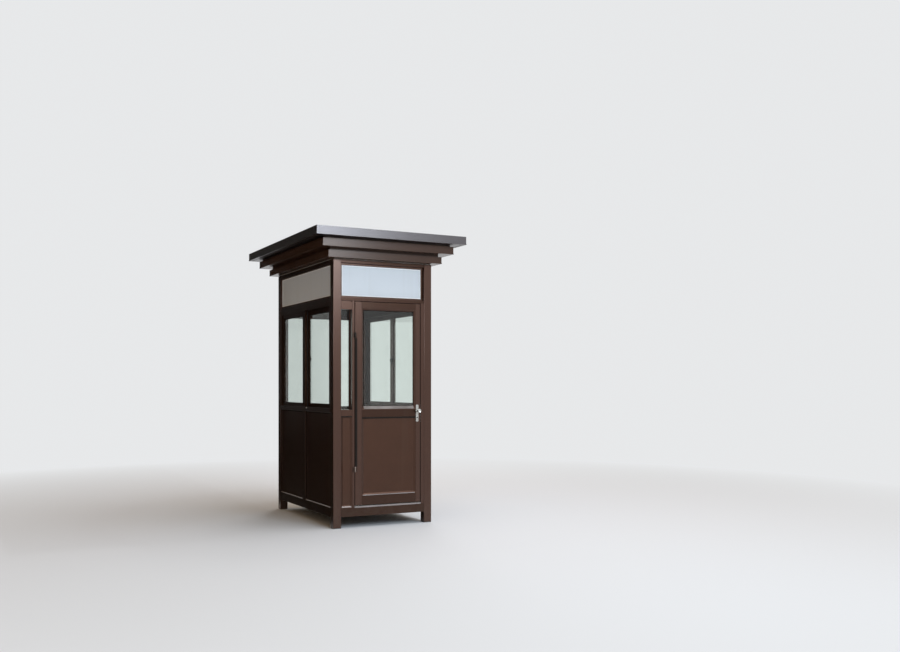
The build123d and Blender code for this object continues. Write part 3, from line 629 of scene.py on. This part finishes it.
def add_frame_line(shape, axes, centre, size, line, proud):
    """Thin line round a rectangle that lies along the first two axes, raised along the third."""
    across, up, out = (Vector(axis) for axis in axes)
    grid = bmesh.ops.create_grid(shape, x_segments=1, y_segments=1, size=0.5)["verts"]
    bmesh.ops.scale(shape, vec=(*size, 1), verts=grid)
    place = Matrix.Translation(centre) @ Matrix((across, up, out)).transposed().to_4x4()
    bmesh.ops.transform(shape, matrix=place, verts=grid)
    face = list(dict.fromkeys(f for v in grid for f in v.link_faces))
    inset = bmesh.ops.inset_region(
        shape, faces=face, thickness=line, use_boundary=True, use_even_offset=True
    )["faces"]
    middle = [f for f in face if f.is_valid and f not in inset]
    bmesh.ops.delete(shape, geom=middle, context="FACES_ONLY")
    raised = bmesh.ops.extrude_face_region(shape, geom=inset)["geom"]
    lifted = [v for v in raised if isinstance(v, bmesh.types.BMVert)]
    bmesh.ops.translate(shape, vec=out * proud, verts=lifted)


def add_pane_line(shape, pane, side, cover, line, proud):
    """Line round the sight of an upright pane: side is the way it faces, and cover what its frame hides of
    it at its start, end, foot and head."""
    low, high = (Vector(corner) for corner in pane)
    normal = Vector(side)
    along_y = side in (LEFT, RIGHT)
    across = Vector((0, 1, 0)) if along_y else Vector((1, 0, 0))
    face = high if side in (RIGHT, BACK) else low
    middle = (low + high) / 2
    start, end, foot, head = cover
    size = ((high - low).dot(across) - start - end, high.z - low.z - foot - head)
    shift = (start - end) / 2
    centre = Vector((
        face.x if along_y else middle.x + shift,
        middle.y + shift if along_y else face.y,
        middle.z + (foot - head) / 2,
    ))
    add_frame_line(shape, (across, UP, normal), centre, size, line, proud)


def middle_x(node):
    low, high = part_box(node)
    return (low.x + high.x) / 2


def bays(end, gap=0.0):
    """The two bays beside a lower wall's middle muntin, each drawn in at both ends by the gap."""
    return (-end + gap, -MUNTIN_HALF - gap), (MUNTIN_HALF + gap, end - gap)


def sash_pane(sash, label):
    """Sight of one sliding pane, as a box between its sash's stiles and rails."""
    low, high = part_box(sash + "_sash_" + label)
    start, end = (MEETING_STILE, END_STILE) if sash == "outer" else (END_STILE, MEETING_STILE)
    middle = (low.x + high.x) / 2
    return (
        (middle - PANE_HALF, low.y + start, low.z + SASH_FOOT),
        (middle + PANE_HALF, high.y - end, high.z - SASH_HEAD),
    )


# Seals and strips

def make_gasket(name, body, sights):
    """Black rubber lines round panes, from each pane's box, the way it faces and what covers it."""
    shape = bmesh.new()
    for pane, side, cover in sights:
        add_pane_line(shape, pane, side, cover, GASKET_WIDTH, GASKET_DEPTH)
    finish(name, shape, body, rubber_and_shadow)


def make_gaskets():
    """Rubber between the panes and their frames, inside and out."""
    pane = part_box("door_glass")
    outside = (DOOR_BEAD, DOOR_BEAD, DOOR_BEAD_SILL, DOOR_BEAD)
    make_gasket("door_gaskets", "door", ((pane, FRONT, outside), (pane, BACK, (DOOR_BEAD,) * 4)))

    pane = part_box("sidelight_glass")
    outside = (SIDELIGHT_BEAD, SIDELIGHT_BEAD, 0.0, 0.0)
    make_gasket("sidelight_gaskets", "booth", ((pane, FRONT, outside), (pane, BACK, OPEN_SIGHT)))

    for _, label in SIDES:
        panes = (sash_pane(sash, label) for sash in ("outer", "inner"))
        sights = [(pane, way, OPEN_SIGHT) for pane in panes for way in (LEFT, RIGHT)]
        make_gasket("sash_gaskets_" + label, "booth", sights)

    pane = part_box("back_window_glass")
    make_gasket("back_gaskets", "booth", [(pane, way, (BACK_GLASS_EDGE,) * 4) for way in (FRONT, BACK)])


def make_top_light_sealant():
    """White sealant round the frosted panes, outside and narrower inside."""
    thick = 0.008
    inside_share = 0.6
    shape = bmesh.new()
    low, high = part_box("top_panels")
    for way, pane in (
        (LEFT, ((low.x, -BAY_Y, low.z), (low.x + thick, BAY_Y, high.z))),
        (RIGHT, ((high.x - thick, -BAY_Y, low.z), (high.x, BAY_Y, high.z))),
        (FRONT, ((-BAY_X, low.y, low.z), (BAY_X, low.y + thick, high.z))),
        (BACK, ((-BAY_X, high.y - thick, low.z), (BAY_X, high.y, high.z))),
    ):
        inward = tuple(-share for share in way)
        for side, width in ((way, SEALANT_WIDTH), (inward, SEALANT_WIDTH * inside_share)):
            add_pane_line(shape, pane, side, (LIGHT_BEAD,) * 4, width, SEALANT_DEPTH)
    finish("top_light_sealant", shape, "booth", white_sealant)


def make_ledge_highlights():
    """Painted highlights: sloped strips on the ledges under the lower panels, and pale ones at the sidelight
    and threshold, all in a pale copy of the bronze where these ledges catch the light.
    """
    gap, overlap, rise = 0.001, 0.0002, 0.009
    shape = bmesh.new()
    for side, _ in SIDES:
        foot = side * SIDE_FACE
        wall = (side * (SIDE_PANEL_FACE - SIDE_FACE - overlap), 0, 0)
        for start, end in bays(BAY_Y, gap):
            add_fillet(shape, (foot, start, BASE_TOP), (foot, end, BASE_TOP), wall, rise)
    wall = (0, BACK_PANEL_FACE - END_FACE - overlap, 0)
    for start, end in bays(BAY_X, gap):
        add_fillet(shape, (start, END_FACE, BASE_TOP), (end, END_FACE, BASE_TOP), wall, rise)

    # The sidelight's painted highlight strip lies on the sloped foot of its panel
    slope, inward, up = (0, -0.845, 0.534), 0.0042, 0.0078
    centre = (middle_x("sidelight_panel"), inward - END_FACE, BASE_TOP + up)
    add_plate(shape, centre, slope, (0.094, 0.011), 0.0010)

    height = 0.0130
    centre = ((JAMB_FACE + MULLION_FACE) / 2, -END_FACE, THRESHOLD_TOP - height / 2)
    add_plate(shape, centre, FRONT, (JAMB_FACE - MULLION_FACE - 2 * gap, height), 0.0015)
    finish("ledge_highlight_strips", shape, "booth", ledge_highlight_bronze)


def make_door_highlights():
    """Painted highlights: pale strips on the foot of the door's panel and on the slope of the sill bead
    above it.
    """
    length, height, shift, sunk = 0.530, 0.007, -0.002, 0.0005
    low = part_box("door_panel")[0]
    shape = bmesh.new()
    centre = (middle_x("door_panel") + shift, low.y + sunk, low.z + height / 2)
    add_plate(shape, centre, FRONT, (length, height), 0.0020)
    finish("door_ledge_highlight", shape, "door", ledge_highlight_bronze)

    slope, inward, up = (0, -0.906, 0.423), 0.007, 0.019
    low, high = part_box("door_beads")
    shape = bmesh.new()
    length, height = high.x - low.x - 2 * DOOR_BEAD - 0.004, 0.030
    add_plate(shape, (middle_x("door_beads"), low.y + inward, low.z + up), slope, (length, height), 0.0010)
    finish("door_sill_highlight", shape, "door", sill_highlight_bronze)


def add_head_shadow_line(shape, panel, height):
    """Painted shadow: a dark line along the head of a front panel, flush with its face, where the rail above
    shades it.
    """
    proud, short, drop = 0.0015, 0.002, 0.0005
    low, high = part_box(panel)
    centre = (middle_x(panel), low.y + proud, high.z - drop - height / 2)
    add_plate(shape, centre, FRONT, (high.x - low.x - short, height), proud)


def make_panel_lines_and_shadows():
    """Dark rubber lines round the lower panels, and painted shadow lines in the same black under the rails
    above the front's panels.
    """
    cover, line, proud = (0.0045,) * 4, 0.005, 0.0018
    shape = bmesh.new()
    for name, side, end in (
        ("lower_panels_left", LEFT, BAY_Y),
        ("lower_panels_right", RIGHT, BAY_Y),
        ("lower_panels_back", BACK, BAY_X),
    ):
        along = 0 if side == BACK else 1
        for bay in bays(end):
            low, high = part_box(name)
            low[along], high[along] = bay
            add_pane_line(shape, (low, high), side, cover, line, proud)
    # Painted shadow under the rail above the sidelight's panel
    add_head_shadow_line(shape, "sidelight_panel", 0.012)
    finish("panel_lines_and_shadow", shape, "booth", rubber_and_shadow)

    shape = bmesh.new()
    add_head_shadow_line(shape, "door_panel", 0.014)
    finish("door_panel_shadow_line", shape, "door", rubber_and_shadow)


def make_threshold_ribs():
    """Ribbed wearing strip on the door's threshold."""
    left, right = MULLION_FACE + 0.002, JAMB_FACE - 0.0025
    front, back = -0.812, -0.745
    ribs, first, pitch, width, margin, rounding = 6, -0.808, 0.0115, 0.004, 0.002, 0.0006
    sheet_top, rib_top = THRESHOLD_TOP + 0.0008, THRESHOLD_TOP + 0.0022
    shape = bmesh.new()
    add_block(shape, (left, front, THRESHOLD_TOP), (right, back, sheet_top))
    for step in range(ribs):
        y = first + pitch * step
        rib = add_block(shape, (left + margin, y, sheet_top), (right - margin, y + width, rib_top))
        lengthways = [edge for edge in edges_of(rib) if edge.calc_length() > 2 * width]
        ease(shape, lengthways, rounding, 1)
    finish("threshold_ribs", shape, "booth", worn_aluminium)


# Fittings

def make_hinge_fittings():
    """Screws on the hinge leaves, and the buttons that close the pins."""
    leaf_face, frame_row, door_row = HINGE_PIN.y + 0.006, HINGE_PIN.x - 0.0167, HINGE_PIN.x + 0.0163
    screw_radius, screw_step = 0.0030, 0.015
    collar_radius, collar_rise, dome_radius, dome_rise = 0.0066, 0.002, 0.0059, 0.0022
    frame_screws, door_screws = [], []
    buttons = bmesh.new()
    for level in HINGE_LEVELS:
        for step, spin in ((-screw_step, 12), (0.0, 51), (screw_step, 33)):
            frame_screws.append(((frame_row, leaf_face, level + step), FRONT, spin))
            door_screws.append(((door_row, leaf_face, level + step), FRONT, spin + 20))
        for way in (UP, DOWN):
            end = Vector((HINGE_PIN.x, HINGE_PIN.y, level)) + Vector(way) * HINGE_HALF
            add_stud(buttons, end, way, collar_radius, collar_rise, top=0.9)
            add_stud(buttons, end + Vector(way) * collar_rise, way, dome_radius, dome_rise, top=0.45)
    finish("hinge_buttons", buttons, "booth", hinge_steel, 40)
    make_screws("frame_hinge", "booth", hinge_steel, screw_radius, frame_screws)
    make_screws("door_hinge", "door", hinge_steel, screw_radius, door_screws)


def make_handle_screws():
    """Screws at the head and foot of the handle plates."""
    screws = [
        ((HANDLE_X, face, HANDLE_LEVEL + step), way, spin)
        for way, face in HANDLE_PLATES
        for step, spin in ((0.068, 20), (-0.068, 64))
    ]
    make_screws("handle", "door", steel, 0.0036, screws)


def add_key_slot_shades(shape):
    """Dark discs with key slots, on the lock cylinders under the handles; the slots are painted shade, flat
    dark plates on the discs.
    """
    drop, cylinder_proud, disc_radius, disc_rise, slot = 0.042, 0.004, 0.0060, 0.0003, (0.0016, 0.0090)
    for way, face in HANDLE_PLATES:
        out = Vector(way)
        key = Vector((HANDLE_X, face, HANDLE_LEVEL - drop)) + out * cylinder_proud
        add_stud(shape, key, way, disc_radius, disc_rise)
        add_plate(shape, key + out * disc_rise, way, slot, SHADE_PLATE_RISE)


def edge_place(x, step=0.0):
    """Place on the door's edge or on the jamb facing it, by its height over the handle."""
    return x, DOOR_MIDDLE, HANDLE_LEVEL + step


def make_latch_tongue():
    """Latch that stands out of the door's edge, slanted where it meets the strike."""
    sunk, reach, slant, half, foot, head = 0.001, 0.0045, 0.0035, 0.007, 0.012, 0.032
    shape = bmesh.new()
    near, far = Vector(edge_place(DOOR_EDGE - sunk, foot)), Vector(edge_place(DOOR_EDGE + reach, head))
    nose = add_block(shape, near - Vector((0, half, 0)), far + Vector((0, half, 0)))
    outer = [corner for corner in nose if corner.co.x > DOOR_EDGE and corner.co.y > DOOR_MIDDLE]
    bmesh.ops.translate(shape, vec=(-slant, 0, 0), verts=outer)
    finish("latch_tongue", shape, "door", steel)


def make_lock_fittings():
    """The lock's face plate and latch in the door's edge, and its openings and key slots as painted shade:
    flat dark plates.
    """
    proud, opening_drop = 0.0008, 0.040
    face, opening_shades = bmesh.new(), bmesh.new()
    add_plate(face, edge_place(DOOR_EDGE), RIGHT, (0.022, 0.190), proud)
    finish("lock_face", face, "door", steel)
    make_latch_tongue()
    plate_x = DOOR_EDGE + proud
    screws = [(edge_place(plate_x, step), RIGHT, spin) for step, spin in ((0.085, 64), (-0.085, -4))]
    make_screws("lock_face", "door", steel, 0.0034, screws)
    add_key_slot_shades(opening_shades)
    add_plate(opening_shades, edge_place(plate_x, -opening_drop), RIGHT, (0.014, 0.034), SHADE_PLATE_RISE)
    finish("lock_opening_shades", opening_shades, "door", black_plastic_and_shade)


def make_strike():
    """Strike plate on the jamb, with openings for the latch and the bolt, painted as shade with flat dark
    plates.
    """
    proud, opening_width = 0.0010, 0.0155
    plate, opening_shades = bmesh.new(), bmesh.new()
    add_plate(plate, edge_place(JAMB_FACE), LEFT, (0.024, 0.170), proud)
    plate_x = JAMB_FACE - proud
    for step, height in ((0.022, 0.030), (-0.040, 0.040)):
        add_plate(opening_shades, edge_place(plate_x, step), LEFT, (opening_width, height), SHADE_PLATE_RISE)
    finish("strike_plate", plate, "booth", steel)
    finish("strike_opening_shades", opening_shades, "booth", black_plastic_and_shade)
    screws = [(edge_place(plate_x, step), LEFT, spin) for step, spin in ((0.074, 52), (-0.074, -22))]
    make_screws("strike", "booth", steel, 0.0032, screws)


def add_pull_liner(shape, centre, out):
    """Dished liner of a finger pull: two round-ended plates, the smaller one raised inside the other."""
    for radius, half, reach, proud in ((0.009, 0.036, 0.036, 0.0008), (0.006, 0.033, 0.03312, 0.0016)):
        add_plate(shape, centre, out, (2 * radius, 2 * half), proud)
        for end in (reach, -reach):
            add_stud(shape, Vector(centre) + Vector((0, 0, end)), out, radius, proud)


def make_sash_fittings(side, label):
    """One side's finger pull liners, end caps and brush strips."""
    room = (-side, 0, 0)
    pull_depth, cap_width, cap_proud = 0.004, 0.020, 0.0012
    liners, brushes, caps = bmesh.new(), bmesh.new(), bmesh.new()
    for sash, pull_y in (("outer", 0.671), ("inner", -0.671)):
        back = side * SASH_BACKS[sash]
        add_pull_liner(liners, (back + side * pull_depth, pull_y, PULL_LEVEL), room)
        low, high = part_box(sash + "_sash_" + label)
        for _, sight_end, _ in sash_pane(sash, label):
            for level, height in ((low.z + 0.0195, 0.012), (high.z - 0.0185, 0.010)):
                add_plate(caps, (back, sight_end, level), room, (cap_width, height), cap_proud)

    clear, half, foot, head = 0.0002, 0.0025, TRACK_TOP + 0.001, 2.044
    near, far = side * (INNER_SASH_FACE + clear), side * (SASH_BACKS["outer"] - clear)
    for y in (0.014, -0.014):
        add_block(brushes, (near, y - half, foot), (far, y + half, head))
    finish("pull_liners_" + label, liners, "booth", black_plastic_and_shade, 40)
    finish("sash_brushes_" + label, brushes, "booth", brush_pile)
    finish("sash_caps_" + label, caps, "booth", black_plastic_and_shade)


def make_meeting_highlight(side, label):
    """Pale plug in the track's nose, below where the sashes meet, whose pale colour paints a small highlight
    there.
    """
    near, far, front, back, rounding = 0.4965, 0.5005, -0.089, -0.065, 0.0015
    foot, head = TRACK_TOP - 0.022, TRACK_TOP - 0.002
    shape = bmesh.new()
    mark = add_block(shape, (side * near, front, foot), (side * far, back, head))
    ease(shape, edges_of(mark), rounding)
    finish("meeting_highlights_" + label, shape, "booth", pale_highlight_plastic, 40)


def make_latch_screws(side, label):
    """Screws above and below the crescent latch."""
    base, y, level = 0.004, -0.019, 1.570
    face = side * (SASH_BACKS["inner"] - base)
    screws = [((face, y, level + step), (-side, 0, 0), spin) for step, spin in ((0.029, 25), (-0.029, 70))]
    make_screws("latch", "booth", steel, 0.0030, screws, "_" + label)


def make_weep_hoods():
    """Hoods over the weep slots in the tracks' noses."""
    slot_x, slot_y, drop, rounding = 0.4985, 0.602, 0.0095, 0.0012
    half = Vector((0.0035, 0.019, 0.006))
    shape = bmesh.new()
    for side, _ in SIDES:
        for y in (-slot_y, slot_y):
            centre = Vector((side * slot_x, y, TRACK_TOP - drop))
            hood = add_block(shape, centre - half, centre + half)
            ease(shape, edges_of(hood), rounding)
    finish("weep_hoods", shape, "booth", black_plastic_and_shade, 40)


def make_roof_seams():
    """The roof's matt top sheet, its lapped joints with their rivets, and the sealant along its rim."""
    rim, tray_depth, sheet_rise = 0.034, 0.009, 0.0004
    lap_y, lap_half, lap_rise, lap_rounding = 0.345, 0.024, 0.0012, 0.0005
    rivets_across, rivet_margin, rivet_shift, rivet_radius, rivet_rise = 18, 0.04, 0.006, 0.0045, 0.0018
    seal_width, seal_depth = 0.009, 0.003
    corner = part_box("roof_slab")[1]
    reach, end, tray = corner.x - rim, corner.y - rim, corner.z - tray_depth
    pitch = 2 * (reach - rivet_margin) / (rivets_across - 1)

    sheet, laps, rivets, seal = bmesh.new(), bmesh.new(), bmesh.new(), bmesh.new()
    add_block(sheet, (-reach, -end, tray), (reach, end, tray + sheet_rise))
    for y in (-lap_y, lap_y):
        lap = add_block(laps, (-reach, y - lap_half, tray), (reach, y + lap_half, tray + lap_rise))
        ease(laps, edges_of(lap), lap_rounding, 1)
        for step in range(rivets_across):
            place = (-reach + rivet_margin + step * pitch, y + rivet_shift, tray + lap_rise)
            add_stud(rivets, place, UP, rivet_radius, rivet_rise, top=0.55, sides=14)
    add_frame_line(seal, (RIGHT, BACK, UP), (0, 0, tray), (2 * reach, 2 * end), seal_width, seal_depth)
    finish("roof_top_sheet", sheet, "booth", roof_top_bronze)
    finish("roof_laps", laps, "booth", roof_top_bronze)
    finish("roof_rivets", rivets, "booth", steel, 50)
    finish("roof_sealant", seal, "booth", grey_sealant)


def make_ceiling_trim():
    """Slim white angle where the ceiling meets the walls, with a joint down its middle."""
    angle_size, angle_width, angle_depth = (0.870, 1.510), 0.016, 0.003
    joint_reach, joint_half, joint_depth = 0.418, 0.009, 0.0025
    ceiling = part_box("ceiling_panel")[0].z
    shape = bmesh.new()
    add_frame_line(shape, (RIGHT, FRONT, DOWN), (0, 0, ceiling), angle_size, angle_width, angle_depth)
    add_block(shape, (-joint_reach, -joint_half, ceiling - joint_depth), (joint_reach, joint_half, ceiling))
    finish("ceiling_trim", shape, "booth", ceiling_white)


# Stage

PALE = (0.80, 0.81, 0.82)
PALE_FLOOR = (0.61, 0.635, 0.68)
FLOOR_RADIUS = 40
FADE_START, FADE_END = 2.4, 7.5
DARK_CARD = (0.014, 0.010, 0.006)
LIT_WAY = (0.34, -0.92, 0.20)
LIT_SIDE = (0.56, 0.56, 0.57)
WARM_SIDE = (0.40, 0.23, 0.06)
DARK_SIDE = (0.05, 0.038, 0.025)
WHITE_LIGHT = (1.0, 1.0, 1.0)
COOL_LIGHT = (0.80, 0.92, 1.0)
LAMPS = (
    ("front softbox", (0.85, -8.37, 4.55), (0.0, -0.82, 1.9), 3.4, 345, COOL_LIGHT),
    ("back softbox", (3.6, 6.5, 4.5), (0.3, 0.4, 1.2), 3.0, 170, WHITE_LIGHT),
    ("top softbox", (1.9, -1.6, 7.5), (0.2, 0, 0), 6.0, 400, WHITE_LIGHT),
)


def background_rays(tree):
    """One for rays from the camera, and for those that metal mirrors or glass passes on, else nought."""
    path = add_node(tree, "ShaderNodeLightPath").outputs
    mirrored = calculate(tree, "MAXIMUM", path["Is Glossy Ray"], path["Is Transmission Ray"])
    return calculate(tree, "MAXIMUM", path["Is Camera Ray"], mirrored)


def start_matt(name, colour, roughness, gloss):
    """New matt material of one colour."""
    made, tree, place, shader = start_material(name)
    set_inputs(tree, shader, {"Base Color": colour, "Roughness": roughness, "Specular IOR Level": gloss})
    return made, tree, place, shader


def make_floor():
    """Pale floor that fades into the backdrop."""
    stuff, tree, place, shader = start_matt("pale_floor", PALE_FLOOR, 0.85, 0.15)
    reach = combine(tree, "LENGTH", place)["Value"]
    fade = multiply(tree, spread(tree, reach, FADE_START, FADE_END), background_rays(tree))
    mix_surface(tree, fade, shader, add_node(tree, "ShaderNodeEmission", {"Color": PALE, "Strength": 1.0}))
    shape = bmesh.new()
    bmesh.ops.create_circle(shape, cap_ends=True, segments=96, radius=FLOOR_RADIUS)
    floor = make_object("floor", shape, stuff)


def make_surroundings():
    """World that is pale behind the booth, and that lights it palely from the front, warm and dim behind."""
    world = bpy.data.worlds.new("pale surroundings")
    bpy.context.scene.world = world
    world.use_nodes = True
    tree = world.node_tree
    tree.nodes.clear()
    direction = add_node(tree, "ShaderNodeTexCoord").outputs["Generated"]
    toward = combine(tree, "DOT_PRODUCT", direction, LIT_WAY)["Value"]
    warm = colour_between(tree, spread(tree, toward, -0.85, -0.25), DARK_SIDE, WARM_SIDE)
    around = colour_between(tree, spread(tree, toward, 0.0, 0.7), warm, LIT_SIDE)
    shown = colour_between(tree, background_rays(tree), around, PALE)
    sky = add_node(tree, "ShaderNodeBackground", {"Color": shown, "Strength": 1.0})
    add_node(tree, "ShaderNodeOutputWorld", {"Surface": sky.outputs[0]})


def make_reflection_cards():
    """Dark card and ground on the left, seen only as reflections in the booth's left side."""
    card_x, thick, card_height = -3.20, 0.06, 9.0
    back_end, ground_front, ground_right = 24.0, -0.9, -0.62
    shape = bmesh.new()
    add_block(shape, (card_x - thick, 0.0, 0.0), (card_x, back_end, card_height))
    add_block(shape, (card_x, ground_front, 0.002), (ground_right, back_end, 0.004))
    stuff = start_matt("dark_card", DARK_CARD, 0.9, 0.1)[0]
    held = make_object("reflection cards", shape, stuff)
    held.visible_camera = False
    held.visible_diffuse = False
    held.visible_transmission = False
    held.visible_shadow = False


def make_lamps():
    """Square softboxes, each turned to where it aims."""
    for name, place, aim, size, power, colour in LAMPS:
        lamp = bpy.data.lights.new(name, "AREA")
        lamp.shape = "SQUARE"
        lamp.size = size
        lamp.energy = power
        lamp.color = colour
        holder = bpy.data.objects.new(name, lamp)
        holder.location = place
        holder.rotation_euler = (Vector(aim) - Vector(place)).to_track_quat("-Z", "Y").to_euler()
        bpy.context.scene.collection.objects.link(holder)


def make_camera():
    """The photograph's camera, which stands level."""
    lens = bpy.data.cameras.new("photo camera")
    lens.sensor_width = SENSOR_WIDTH
    lens.lens = SENSOR_WIDTH * FOCAL_PIXELS / PHOTO_WIDTH
    lens.shift_y = CAMERA_SHIFT
    camera = bpy.data.objects.new("photo camera", lens)
    camera.location = CAMERA_PLACE
    camera.rotation_euler = (math.radians(90), 0, CAMERA_TURN)
    bpy.context.scene.collection.objects.link(camera)
    bpy.context.scene.camera = camera
    bpy.context.scene.view_settings.view_transform = "Standard"


dress_nodes()
make_gaskets()
make_top_light_sealant()
make_ledge_highlights()
make_door_highlights()
make_panel_lines_and_shadows()
make_threshold_ribs()
make_hinge_fittings()
make_handle_screws()
make_lock_fittings()
make_strike()
for side, label in SIDES:
    make_sash_fittings(side, label)
    make_meeting_highlight(side, label)
    make_latch_screws(side, label)
make_weep_hoods()
make_roof_seams()
make_ceiling_trim()
make_floor()
make_surroundings()
make_reflection_cards()
make_lamps()
make_camera()
